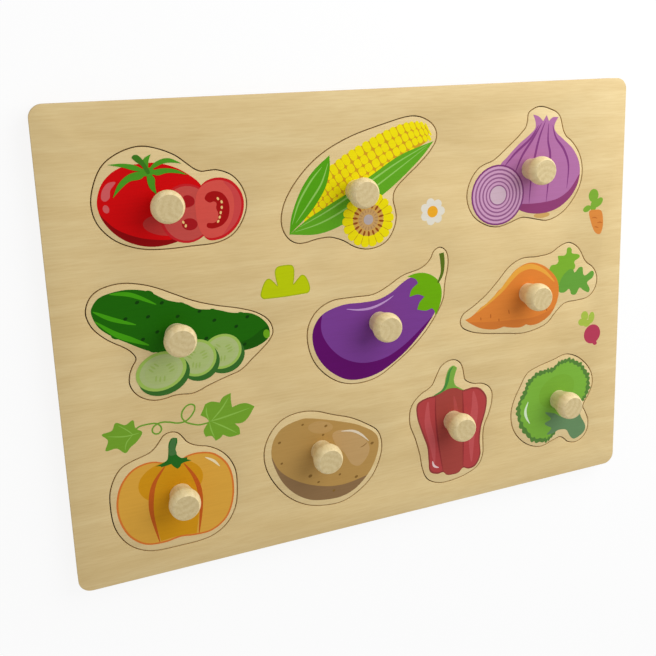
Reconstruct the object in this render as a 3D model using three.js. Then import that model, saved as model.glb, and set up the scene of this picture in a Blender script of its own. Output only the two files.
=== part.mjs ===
import * as THREE from 'three';

// Wooden inset puzzle: a board of two plywood sheets glued face to face, with ten vegetable pieces
// that lie flush in its recesses. Each piece is lifted straight up by a turned wooden knob.
// Millimetres, +Z up. The board lies flat, with the origin in the middle of its underside.

// Board
const BACK_THICKNESS = 3;
const FACE_THICKNESS = 5;
const CORNER_RADIUS = 6;
const RIGHT_MARGIN = 15.5;
const BOTTOM_MARGIN = 12;

// Width of the saw cut between a piece and the rim of its recess
const KERF = 0.5;

// Knob, from the spigot in its bore up to the flat top. The shoulder is an elliptical arc that turns through
// SHOULDER_TURN degrees.
const SPIGOT_RADIUS = 3;
const SPIGOT_CLEARANCE = 0.2;
const SPIGOT_SHORTFALL = 0.5;
const FOOT_LEDGE = 2.3;
const FOOT_HEIGHT = 1;
const NECK_RISE = 6.8;
const NECK_HOLLOW = 0.15;
const HEAD_RADIUS = 7.3;
const RIM_HEIGHT = 1.5;
const RIM_TAPER = 0.3;
const SHOULDER_WIDTH = 2.7;
const SHOULDER_RISE = 4.75;
const SHOULDER_TURN = 65;

// Facets of the curved stretches
const OUTLINE_STEPS = 56;
const CORNER_STEPS = 6;
const ROUND_STEPS = 16;
const NECK_STEPS = 8;
const SHOULDER_STEPS = 4;

const PLYWOOD_COLOUR = 0xd9bf8c;
const BACK_COLOUR = 0xcdb180;
const KNOB_COLOUR = 0xe2c792;

// The pieces, in three rows. leftWeb is the wood left between a recess and the one it comes after in its
// row, or the board's left edge; topWeb is the same for the one it lies under, or the board's top edge.
// An outline is the middle of the saw cut, clockwise from the top, measured from the knob's axis.
const PIECES = [
  {
    name: 'tomato', after: null, leftWeb: 21, under: null, topWeb: 19.5, colour: 0xb5141a,
    outline: [
      [-8.5, 25.5], [-1, 24], [6.5, 20.5], [12, 16], [16.5, 13], [24, 13], [31, 10], [35.5, 4],
      [37, -3], [35, -10], [30, -16.5], [23, -19.5], [10.5, -20], [-2.5, -20], [-12.5, -18.5],
      [-22, -14], [-28.5, -6.5], [-30.5, 1.5], [-29, 10], [-24.5, 18.5], [-17, 23.5],
    ],
  },
  {
    name: 'corn', after: 'tomato', leftWeb: 16, under: null, topWeb: 13.5, colour: 0xe8cf12,
    outline: [
      [31, 33.5], [38, 31.5], [42.5, 27.5], [43.5, 22.5], [40.5, 17], [34, 10.5], [26, 4], [20.5, -1.5],
      [19.5, -6.5], [21, -13.5], [19.5, -20.5], [15, -26.5], [7, -29], [-0.5, -27.5], [-7, -23.5],
      [-14, -21], [-22, -21.5], [-29, -22.5], [-34.5, -19.5], [-37.5, -12.5], [-36, -3.5], [-29.5, 7],
      [-19, 17], [-5, 24.5], [13, 30],
    ],
  },
  {
    name: 'onion', after: 'corn', leftWeb: 17, under: null, topWeb: 12.5, colour: 0xae68a6,
    outline: [
      [5, 31.5], [11.5, 30], [17, 27], [19, 22], [21, 16.5], [26, 12], [30.5, 5.5], [32.5, -2.5],
      [31.5, -10], [27.5, -17.5], [20.5, -24.5], [11, -28], [3, -26.5], [-5, -25], [-12, -27], [-20, -28.5],
      [-28, -26], [-34.5, -20.5], [-37.5, -12], [-35.5, -3.5], [-30, 3], [-22, 6], [-14.5, 11.5], [-7, 17.5],
      [-2.5, 22.5], [-1.5, 28.5],
    ],
  },
  {
    name: 'cucumber', after: null, leftWeb: 14.5, under: 'tomato', topWeb: 13, colour: 0x1f5a10,
    outline: [
      [-24, 26.5], [-15.5, 25.5], [-8, 23], [0, 19], [9, 14.5], [19, 11], [30, 8], [38.5, 4.5], [44, -0.5],
      [45, -6.5], [40.5, -12], [34.5, -17], [29, -21.5], [21, -24], [13, -26.5], [6, -29], [-2, -28.5],
      [-10.5, -29.5], [-17.5, -27], [-22, -21], [-21.5, -14], [-18.5, -8], [-22, -3.5], [-30, 2], [-36, 8.5],
      [-38, 16], [-34, 23.5],
    ],
  },
  {
    name: 'eggplant', after: 'cucumber', leftWeb: 17, under: 'corn', topWeb: 3.5, colour: 0x6c3684,
    outline: [
      [34.5, 34], [38, 31.5], [39, 25], [37, 15], [36, 7], [32, -0.5], [25.5, -9], [17.5, -16.5],
      [7.5, -23.5], [-1.5, -28.5], [-11, -30], [-20, -28.5], [-28, -23.5], [-34.5, -15.5], [-37.5, -6],
      [-37, 3], [-32.5, 10], [-25, 14], [-14.5, 14.5], [-2.5, 14.5], [5, 17.5], [13.5, 22], [23.5, 24.5],
      [28.5, 28], [31, 32.5],
    ],
  },
  {
    name: 'carrot', after: 'eggplant', leftWeb: 7, under: 'onion', topWeb: 13, colour: 0xd4722c,
    outline: [
      [25.5, 24.5], [31, 22], [34.5, 17.5], [37, 13], [42.5, 8.5], [45, 3], [44, -3], [39.5, -7.5],
      [32, -8.5], [24, -9], [18, -13.5], [13, -18.5], [6, -21], [-3, -22], [-14, -20.5], [-27, -18.5],
      [-35.5, -16], [-40.5, -12], [-39.5, -7], [-33, -3], [-25, 2.5], [-17.5, 9.5], [-11.5, 15.5],
      [-4, 19], [6, 19], [14.5, 20], [20, 23],
    ],
  },
  {
    name: 'pumpkin', after: null, leftWeb: 17, under: 'cucumber', topWeb: 16.5, colour: 0xcb8a22,
    outline: [
      [-2.5, 31.5], [1.5, 30], [4, 26], [8, 23], [15.5, 20.5], [22.5, 15], [26.5, 7], [27, -2], [25.5, -12.5],
      [20.5, -20.5], [12.5, -25], [-1.5, -26], [-16.5, -25], [-25, -20], [-30.5, -11], [-32, 0], [-31, 10],
      [-26, 18.5], [-19, 21.5], [-12.5, 23.5], [-8.5, 27], [-6.5, 30],
    ],
  },
  {
    name: 'potato', after: 'pumpkin', leftWeb: 14, under: 'eggplant', topWeb: 9.5, colour: 0xa17c42,
    outline: [
      [-10.5, 22], [-2, 21], [7, 17.5], [16.5, 14], [25, 9], [31, 4], [33, -3.5], [31.5, -11.5], [27, -20],
      [20, -26], [11, -30], [1, -30], [-8.5, -27.5], [-17, -22], [-24, -13.5], [-28.5, -3.5], [-29, 5.5],
      [-25.5, 14], [-19, 20],
    ],
  },
  {
    name: 'pepper', after: 'potato', leftWeb: 16, under: 'carrot', topWeb: 8, colour: 0xa8363a,
    outline: [
      [-1, 33.5], [4, 32], [6.5, 27], [7.5, 21.5], [12, 18.5], [19, 17], [23.5, 13], [24, 6.5], [22, -0.5],
      [19, -7.5], [18.5, -15], [18.5, -22.5], [16, -28.5], [10, -32], [1, -34], [-8, -34], [-15, -30.5],
      [-18, -24], [-19.5, -15.5], [-22, -6], [-25, 3], [-24, 12], [-19, 17.5], [-12.5, 21], [-9.5, 26],
      [-6.5, 31],
    ],
  },
  {
    name: 'broccoli', after: 'pepper', leftWeb: 12, under: 'carrot', topWeb: 16.5, colour: 0x64a834,
    outline: [
      [4, 25.5], [11, 23.5], [17.5, 18.5], [22, 12], [23, 5], [20, -2], [17, -7], [19.5, -12.5], [21, -18.5],
      [19, -24.5], [13.5, -28], [7.5, -27], [2.5, -23], [-3, -24], [-10.5, -26], [-18, -24], [-25, -18.5],
      [-29.5, -11], [-30.5, -2.5], [-28.5, 5], [-25, 11.5], [-20.5, 18.5], [-13, 21.5], [-4, 23.5],
    ],
  },
];

const wood = (color, roughness) => new THREE.MeshStandardMaterial({ color, roughness, metalness: 0 });

function part(name, geometry, material) {
  const mesh = new THREE.Mesh(geometry, material);
  mesh.name = name;
  return mesh;
}

// The closed curve through an outline's points, in even steps.
function smoothLoop(outline) {
  const corners = outline.map(([x, y]) => new THREE.Vector3(x, y, 0));
  const curve = new THREE.CatmullRomCurve3(corners, true, 'centripetal');
  return curve.getSpacedPoints(OUTLINE_STEPS).slice(0, -1).map((p) => new THREE.Vector2(p.x, p.y));
}

// A clockwise loop moved outwards by a distance, or inwards by a negative one.
function offsetLoop(loop, distance) {
  return loop.map((point, i) => {
    const before = loop.at(i - 1);
    const after = loop[(i + 1) % loop.length];
    const along = after.clone().sub(before).normalize();
    return new THREE.Vector2(point.x - along.y * distance, point.y + along.x * distance);
  });
}

function circleLoop(radius) {
  return Array.from({ length: ROUND_STEPS }, (_, i) => {
    const turn = (2 * Math.PI * i) / ROUND_STEPS;
    return new THREE.Vector2(radius * Math.cos(turn), radius * Math.sin(turn));
  });
}

function roundedRectangle(length, width, radius) {
  const x = length / 2 - radius;
  const y = width / 2 - radius;
  const shape = new THREE.Shape();
  shape.absarc(x, y, radius, 0, Math.PI / 2);
  shape.absarc(-x, y, radius, Math.PI / 2, Math.PI);
  shape.absarc(-x, -y, radius, Math.PI, 1.5 * Math.PI);
  shape.absarc(x, -y, radius, 1.5 * Math.PI, 2 * Math.PI);
  shape.closePath();
  return shape;
}

function sheet(shape, thickness, base) {
  const options = { depth: thickness, bevelEnabled: false, curveSegments: CORNER_STEPS };
  return new THREE.ExtrudeGeometry(shape, options).translate(0, 0, base);
}

// Places each knob's axis from the board's top left corner, row by row, and gives the board's size.
function layOut(pieces) {
  const placed = {};
  for (const piece of pieces) {
    const loop = smoothLoop(piece.outline);
    const box = new THREE.Box2().setFromPoints(loop);
    const leftEdge = piece.after ? placed[piece.after].right : 0;
    const topEdge = piece.under ? placed[piece.under].bottom : 0;
    const x = leftEdge + piece.leftWeb - box.min.x;
    const y = topEdge - piece.topWeb - box.max.y;
    placed[piece.name] = { loop, x, y, right: x + box.max.x, bottom: y + box.min.y };
  }
  const all = Object.values(placed);
  const length = Math.max(...all.map((p) => p.right)) + RIGHT_MARGIN;
  const width = BOTTOM_MARGIN - Math.min(...all.map((p) => p.bottom));
  for (const place of all) {
    place.x -= length / 2;
    place.y += width / 2;
  }
  return { placed, length, width };
}

function boardFace(layout) {
  const shape = roundedRectangle(layout.length, layout.width, CORNER_RADIUS);
  for (const { loop, x, y } of Object.values(layout.placed)) {
    const rim = offsetLoop(loop, KERF / 2).map((p) => new THREE.Vector2(p.x + x, p.y + y));
    shape.holes.push(new THREE.Path(rim));
  }
  return sheet(shape, FACE_THICKNESS, BACK_THICKNESS);
}

function boardBack(layout) {
  return sheet(roundedRectangle(layout.length, layout.width, CORNER_RADIUS), BACK_THICKNESS, 0);
}

// A piece stands on the recess floor, z = 0 in its own group, and its bore goes right through.
function inset(loop) {
  const shape = new THREE.Shape(offsetLoop(loop, -KERF / 2));
  shape.holes.push(new THREE.Path(circleLoop(SPIGOT_RADIUS + SPIGOT_CLEARANCE)));
  return sheet(shape, FACE_THICKNESS, 0);
}

// Turned profile: spigot, straight foot, a neck that widens up to the head's rim, a little hollow, and a
// rounded shoulder that stops at the edge of the flat top.
function knob() {
  const footRadius = SPIGOT_RADIUS + FOOT_LEDGE;
  const rimFoot = FOOT_HEIGHT + NECK_RISE;
  const rimTop = rimFoot + RIM_HEIGHT;
  const neckTop = HEAD_RADIUS - RIM_TAPER;
  const neck = new THREE.SplineCurve([
    new THREE.Vector2(footRadius, FOOT_HEIGHT),
    new THREE.Vector2((footRadius + neckTop) / 2 - NECK_HOLLOW, FOOT_HEIGHT + NECK_RISE / 2),
    new THREE.Vector2(neckTop, rimFoot),
    new THREE.Vector2(HEAD_RADIUS, rimTop),
  ]);
  const turn = THREE.MathUtils.degToRad(SHOULDER_TURN);
  const middle = HEAD_RADIUS - SHOULDER_WIDTH;
  const shoulder = new THREE.EllipseCurve(middle, rimTop, SHOULDER_WIDTH, SHOULDER_RISE, 0, turn);
  const crown = shoulder.getPoints(SHOULDER_STEPS);
  const profile = [
    new THREE.Vector2(0, SPIGOT_SHORTFALL - FACE_THICKNESS),
    new THREE.Vector2(SPIGOT_RADIUS, SPIGOT_SHORTFALL - FACE_THICKNESS),
    new THREE.Vector2(SPIGOT_RADIUS, 0),
    new THREE.Vector2(footRadius, 0),
    ...neck.getPoints(NECK_STEPS),
    ...crown.slice(1),
    new THREE.Vector2(0, crown.at(-1).y),
  ];
  return new THREE.LatheGeometry(profile, ROUND_STEPS).rotateX(Math.PI / 2).translate(0, 0, FACE_THICKNESS);
}

const layout = layOut(PIECES);
const puzzle = new THREE.Group();
puzzle.add(part('board_face', boardFace(layout), wood(PLYWOOD_COLOUR, 0.6)));
puzzle.add(part('board_back', boardBack(layout), wood(BACK_COLOUR, 0.7)));
for (const { name, colour } of PIECES) {
  const { loop, x, y } = layout.placed[name];
  const piece = new THREE.Group();
  piece.position.set(x, y, BACK_THICKNESS);
  piece.add(part(`${name}_inset`, inset(loop), wood(colour, 0.5)));
  piece.add(part(`${name}_knob`, knob(), wood(KNOB_COLOUR, 0.55)));
  puzzle.add(piece);
}

export default puzzle;
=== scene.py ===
import math

import bmesh
import bpy
from mathutils import Matrix, Vector


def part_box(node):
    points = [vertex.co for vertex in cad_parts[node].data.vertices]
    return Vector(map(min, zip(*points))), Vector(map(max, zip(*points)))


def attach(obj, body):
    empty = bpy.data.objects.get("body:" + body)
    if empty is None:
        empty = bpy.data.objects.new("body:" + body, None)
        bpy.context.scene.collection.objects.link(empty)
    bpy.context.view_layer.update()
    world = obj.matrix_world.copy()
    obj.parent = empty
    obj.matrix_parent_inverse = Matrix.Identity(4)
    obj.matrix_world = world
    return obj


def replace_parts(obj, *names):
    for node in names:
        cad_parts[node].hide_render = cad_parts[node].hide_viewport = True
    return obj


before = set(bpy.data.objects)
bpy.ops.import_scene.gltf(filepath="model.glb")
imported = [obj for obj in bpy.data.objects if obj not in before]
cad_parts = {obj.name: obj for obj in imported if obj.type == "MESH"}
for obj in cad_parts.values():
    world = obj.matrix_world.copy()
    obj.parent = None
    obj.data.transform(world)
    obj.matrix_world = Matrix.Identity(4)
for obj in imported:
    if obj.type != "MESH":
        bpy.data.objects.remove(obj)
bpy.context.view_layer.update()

# A wooden tray puzzle: a plywood board with ten loose vegetable pieces, each lifted by a turned wooden knob.
# Lengths are written in millimetres and turned to metres with MM.
MM = 0.001
BOARD_CORNER = 6.0
CORNER_STEPS = 12
KNOB_SEGMENTS = 56

# Points drawn on a smooth curve for each point of a CAD outline.
CAD_STEPS = 4

# The sheets' edges are sanded round by this much.
ARRIS = 0.2
ARRIS_STEPS = 3

# Ink: the rise of one layer over the last, how deep a patch is rooted in the wood, and the small step from
# patch to patch that keeps two of them from sharing a plane.
INK_STEP = 0.012
INK_ROOT = 0.02
INK_STAGGER = 0.0002

# Edges that turn by more degrees than this are shaded sharp.
SHEET_CREASE = 40
KNOB_CREASE = 14
PRINT_CREASE = 30

# In metres: points of a solid this close are one point, and heights this close are one height. The radii and
# heights of a knob are rounded to this many decimals.
SAME_POINT = 1e-6
SAME_HEIGHT = 1e-5
KNOB_DIGITS = 5

# A face looks up where its normal rises by more than this.
LOOKS_UP = 0.9

# Width and length of one streak in the wood. Real fibres and pores are about a tenth as wide: they are drawn
# this coarse so that they show in the render.
VENEER_BAND = (9, 80)
VENEER_FIBRE = (0.8, 11)
SAWN_FIBRE = (0.5, 5)
BEECH_PORE = (0.9, 6)
INKED_FIBRE = (0.9, 15)

# The growth rings of a knob run round a pith this far from its axis, turned on from each knob to the next by
# this angle in radians. Along the knob they wander by this share of what they do across it.
PITH_OFFSET = 6.0
PITH_TURN = 2.4
RING_WANDER = 0.04

# A wave texture repeats every pi / 10 of its scaled length; these are the repeats in millimetres.
WAVE_SCALE = math.pi / 10 / MM
PLY_PAIR = 2.0
GROWTH_RING = 3.0

# The share of the floor that shows as plain white; the rest takes the light and the shadow.
FLOOR_GLOW = 0.86


# Colours and material nodes

def linear(colour):
    """An sRGB hex colour as linear red, green, blue and alpha."""
    shares = [int(colour[i:i + 2], 16) / 255 for i in (1, 3, 5)]
    return [c / 12.92 if c <= 0.04045 else ((c + 0.055) / 1.055) ** 2.4 for c in shares] + [1.0]


def add(tree, kind, inputs, stops=(), **settings):
    """Adds a node, sets its properties and colour stops, and fills each input with a value or a link."""
    node = tree.nodes.new(kind)
    for key, value in settings.items():
        setattr(node, key, value)
    for number, (position, colour) in enumerate(stops):
        elements = node.color_ramp.elements
        element = elements[number] if number < len(elements) else elements.new(position)
        element.position = position
        element.color = linear(colour)
    for key, value in inputs.items():
        if isinstance(value, bpy.types.NodeSocket):
            tree.links.new(value, node.inputs[key])
        else:
            node.inputs[key].default_value = value
    return node


def new_material(name):
    """A new material with an empty node tree."""
    material = bpy.data.materials.new(name)
    material.use_nodes = True
    material.node_tree.nodes.clear()
    return material, material.node_tree


def grain(tree, across, along, stretch_axis="X", waver=0.0):
    """Noise drawn out along the fibres; across and along are the sizes of one streak in millimetres."""
    place = add(tree, "ShaderNodeTexCoord", {})
    scale = [1 / (across * MM)] * 3
    scale["XYZ".index(stretch_axis)] = 1 / (along * MM)
    drawn_out = add(tree, "ShaderNodeMapping", {"Vector": place.outputs["Object"], "Scale": scale})
    noise = add(tree, "ShaderNodeTexNoise", {
        "Vector": drawn_out.outputs["Vector"], "Scale": 1.0, "Detail": 4.0, "Roughness": 0.55,
        "Distortion": waver,
    })
    return noise.outputs["Fac"]


def finish_material(tree, base, streaks, stops, strength, roughness, specular):
    """Darkens a base colour by streaks of the tones in the stops, and gives the surface its sheen."""
    tones = add(tree, "ShaderNodeValToRGB", {"Fac": streaks}, stops)
    colour = add(tree, "ShaderNodeMix", {
        0: strength, 6: base, 7: tones.outputs["Color"],
    }, data_type="RGBA", blend_type="MULTIPLY")
    shader = add(tree, "ShaderNodeBsdfPrincipled", {
        "Base Color": colour.outputs[2], "Roughness": roughness, "Specular IOR Level": specular,
    })
    add(tree, "ShaderNodeOutputMaterial", {"Surface": shader.outputs["BSDF"]})


def face_wood(name, dark, middle, light):
    """Rotary-cut basswood ply, sanded and clear lacquered: pale, with faint broad bands and fine fibres."""
    material, tree = new_material(name)
    bands = grain(tree, *VENEER_BAND, waver=0.6)
    tone = add(tree, "ShaderNodeValToRGB", {"Fac": bands}, [(0.3, dark), (0.5, middle), (0.7, light)])
    finish_material(
        tree, tone.outputs["Color"], grain(tree, *VENEER_FIBRE), [(0.3, "#e4d6bd"), (0.6, "#ffffff")],
        strength=0.28, roughness=0.45, specular=0.2,
    )
    return material


def ply_edge(name, pale, dark):
    """The cut edge of plywood: plies a millimetre thick, with the dull fibres of a saw cut."""
    material, tree = new_material(name)
    place = add(tree, "ShaderNodeTexCoord", {})
    plies = add(tree, "ShaderNodeTexWave", {
        "Vector": place.outputs["Object"], "Scale": WAVE_SCALE / PLY_PAIR, "Distortion": 0.6, "Detail": 2.0,
        "Detail Scale": 0.4,
    }, wave_type="BANDS", bands_direction="Z")
    layers = add(tree, "ShaderNodeValToRGB", {"Fac": plies.outputs["Fac"]}, [(0.35, dark), (0.65, pale)])
    finish_material(
        tree, layers.outputs["Color"], grain(tree, *SAWN_FIBRE), [(0.3, "#d8c8b0"), (0.6, "#ffffff")],
        strength=0.4, roughness=0.75, specular=0.2,
    )
    return material


def knob_wood(name, dark, light):
    """Lathe-turned, waxed beech: faint growth rings round an off-centre pith, and short dark pores."""
    material, tree = new_material(name)
    place = add(tree, "ShaderNodeTexCoord", {})
    axis = add(tree, "ShaderNodeAttribute", {}, attribute_name="pith")
    from_pith = add(tree, "ShaderNodeVectorMath", {
        0: place.outputs["Object"], 1: axis.outputs["Vector"],
    }, operation="SUBTRACT")
    upright = add(tree, "ShaderNodeMapping", {
        "Vector": from_pith.outputs["Vector"], "Scale": (1.0, 1.0, RING_WANDER),
    })
    rings = add(tree, "ShaderNodeTexWave", {
        "Vector": upright.outputs["Vector"], "Scale": WAVE_SCALE / GROWTH_RING, "Distortion": 6.0,
        "Detail": 3.0, "Detail Scale": 0.5,
    }, wave_type="RINGS", rings_direction="Z")
    wood = add(tree, "ShaderNodeValToRGB", {"Fac": rings.outputs["Fac"]}, [(0.0, dark), (1.0, light)])
    pores = grain(tree, *BEECH_PORE, stretch_axis="Z")
    finish_material(
        tree, wood.outputs["Color"], pores, [(0.3, "#d2c2a4"), (0.55, "#ffffff")],
        strength=0.3, roughness=0.5, specular=0.3,
    )
    return material


def printing_ink():
    """Silk-screen ink on sealed wood: flat colour with a little of the grain showing, and a satin surface."""
    material, tree = new_material("screen_printed_ink")
    ink = add(tree, "ShaderNodeAttribute", {}, attribute_name="ink")
    finish_material(
        tree, ink.outputs["Color"], grain(tree, *INKED_FIBRE), [(0.3, "#e2dcd2"), (0.6, "#ffffff")],
        strength=0.2, roughness=0.5, specular=0.06,
    )
    return material


def seen_as_background(tree):
    """1 for a ray that shows the background to the camera, mirrored and bent ones too, and 0 for light."""
    path = add(tree, "ShaderNodeLightPath", {})
    mirrored = add(tree, "ShaderNodeMath", {
        0: path.outputs["Is Camera Ray"], 1: path.outputs["Is Glossy Ray"],
    }, operation="MAXIMUM")
    bent = add(tree, "ShaderNodeMath", {
        0: mirrored.outputs["Value"], 1: path.outputs["Is Transmission Ray"],
    }, operation="MAXIMUM")
    return bent.outputs["Value"]


def white_floor():
    """A matt white sweep that shows as white and keeps a soft share of the shadow."""
    material, tree = new_material("matt_white_paper")
    share = add(tree, "ShaderNodeMath", {0: seen_as_background(tree), 1: FLOOR_GLOW}, operation="MULTIPLY")
    paper = add(tree, "ShaderNodeBsdfDiffuse", {"Color": linear("#f4f4f4")})
    glow = add(tree, "ShaderNodeEmission", {"Color": linear("#ffffff"), "Strength": 1.0})
    mixed = add(tree, "ShaderNodeMixShader", {
        0: share.outputs["Value"], 1: paper.outputs["BSDF"], 2: glow.outputs["Emission"],
    })
    add(tree, "ShaderNodeOutputMaterial", {"Surface": mixed.outputs["Shader"]})
    return material


# Outlines, as lists of (x, y) in millimetres

def smooth(points, closed=True, steps=6):
    """A Catmull-Rom curve through the points."""
    count = len(points)
    curve = []
    for i in range(count if closed else count - 1):
        turns = [i - 1, i, i + 1, i + 2]
        a, b, c, d = [points[k % count if closed else min(max(k, 0), count - 1)] for k in turns]
        for s in range(steps):
            t = s / steps
            curve.append(tuple(
                b[k] + 0.5 * t * (c[k] - a[k] + t * (2 * a[k] - 5 * b[k] + 4 * c[k] - d[k]
                + t * (3 * b[k] - a[k] - 3 * c[k] + d[k]))) for k in (0, 1)
            ))
    return curve if closed else curve + [tuple(points[-1])]


def pointed(*sides):
    """An outline of smooth sides that meet at sharp corners; each starts where the one before it ends."""
    outline = []
    for number, side in enumerate(sides):
        outline += smooth(sides[number - 1][-1:] + side, closed=False)[:-1]
    return outline


def oval(x, y, half_width, half_height, turn=0.0, squareness=1.0, steps=32):
    """An ellipse, or with a squareness under 1 a pillow shape, turned by degrees."""
    cos_turn, sin_turn = math.cos(math.radians(turn)), math.sin(math.radians(turn))
    outline = []
    for i in range(steps):
        angle = 2 * math.pi * i / steps
        c, s = math.cos(angle), math.sin(angle)
        u = half_width * math.copysign(abs(c) ** squareness, c)
        v = half_height * math.copysign(abs(s) ** squareness, s)
        outline.append((x + u * cos_turn - v * sin_turn, y + u * sin_turn + v * cos_turn))
    return outline


def ribbon(points, width, tail=0.15):
    """A stroke along a smooth line, narrowed at its ends to a share of its width."""
    line = smooth(points, closed=False)
    left, right = [], []
    for i, (x, y) in enumerate(line):
        before, after = line[max(i - 1, 0)], line[min(i + 1, len(line) - 1)]
        dx, dy = after[0] - before[0], after[1] - before[1]
        half = width / 2 * (tail + (1 - tail) * math.sin(math.pi * i / (len(line) - 1)))
        half /= math.hypot(dx, dy)
        left.append((x - dy * half, y + dx * half))
        right.append((x + dy * half, y - dx * half))
    return left + right[::-1]


def area(loop):
    """The signed area of a loop, above zero where it runs anticlockwise."""
    return 0.5 * sum(a[0] * b[1] - b[0] * a[1] for a, b in zip(loop, loop[1:] + loop[:1]))


def anticlockwise(loop):
    """The loop, turned round where it runs clockwise."""
    return loop if area(loop) > 0 else loop[::-1]


def offset(loop, distance):
    """The loop moved to its right by a distance: outward where it runs anticlockwise."""
    moved = []
    count = len(loop)
    for i, (x, y) in enumerate(loop):
        (ax, ay), (bx, by) = loop[i - 1], loop[(i + 1) % count]
        size = math.hypot(bx - ax, by - ay)
        moved.append((x + (by - ay) / size * distance, y - (bx - ax) / size * distance))
    return moved


def centre(outline):
    """The mean of an outline's points."""
    return [sum(p[k] for p in outline) / len(outline) for k in (0, 1)]


def shaded(outline, line):
    """The part of a shape beyond a smooth line that starts and ends on its edge.

    It is the part met by going anticlockwise along the edge from the line's start to its end.
    """
    inner = smooth(line, closed=False)
    edge = anticlockwise(outline)
    ends = [
        min(range(len(edge)), key=lambda i: math.hypot(edge[i][0] - x, edge[i][1] - y))
        for x, y in (inner[0], inner[-1])
    ]
    count = (ends[1] - ends[0]) % len(edge)
    run = [edge[(ends[0] + i) % len(edge)] for i in range(count + 1)]
    return run + inner[-2:0:-1]


def shrunk(outline, margin):
    """The outline drawn in towards its middle by a margin."""
    mx, my = centre(outline)
    drawn_in = []
    for x, y in outline:
        share = 1 - margin / math.hypot(x - mx, y - my)
        drawn_in.append((mx + (x - mx) * share, my + (y - my) * share))
    return drawn_in


def scalloped(outline, lobes, rise, uneven=0.45, beat=0.68):
    """The outline with small round bumps all along it, uneven in size with a slow beat."""
    mx, my = centre(outline)
    bumped = []
    count = len(outline)
    for i, (x, y) in enumerate(outline):
        turn = math.pi * lobes * i / count
        bump = rise * abs(math.sin(turn)) * (1 + uneven * math.sin(beat * turn))
        grow = 1 + bump / math.hypot(x - mx, y - my)
        bumped.append((mx + (x - mx) * grow, my + (y - my) * grow))
    return bumped


def is_inside(point, outline):
    """Whether a point lies inside an outline."""
    x, y = point
    crossings = 0
    for (ax, ay), (bx, by) in zip(outline, outline[1:] + outline[:1]):
        if (ay > y) != (by > y) and x < ax + (bx - ax) * (y - ay) / (by - ay):
            crossings += 1
    return crossings % 2 == 1


def ring_of(x, y, count, mark, phase=0.0):
    """A mark drawn to the right of a middle, repeated round it."""
    marks = []
    for i in range(count):
        angle = 2 * math.pi * (i + phase) / count
        c, s = math.cos(angle), math.sin(angle)
        marks.append([(x + u * c - v * s, y + u * s + v * c) for u, v in mark])
    return marks


def inked(colour, *outlines):
    """Outlines filled with one colour of ink."""
    return [(colour, outline) for outline in outlines]


# The printed pictures: lists of layers from the wood up, each layer a list of (colour, outline).
# Points are measured from the knob's axis.

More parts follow.
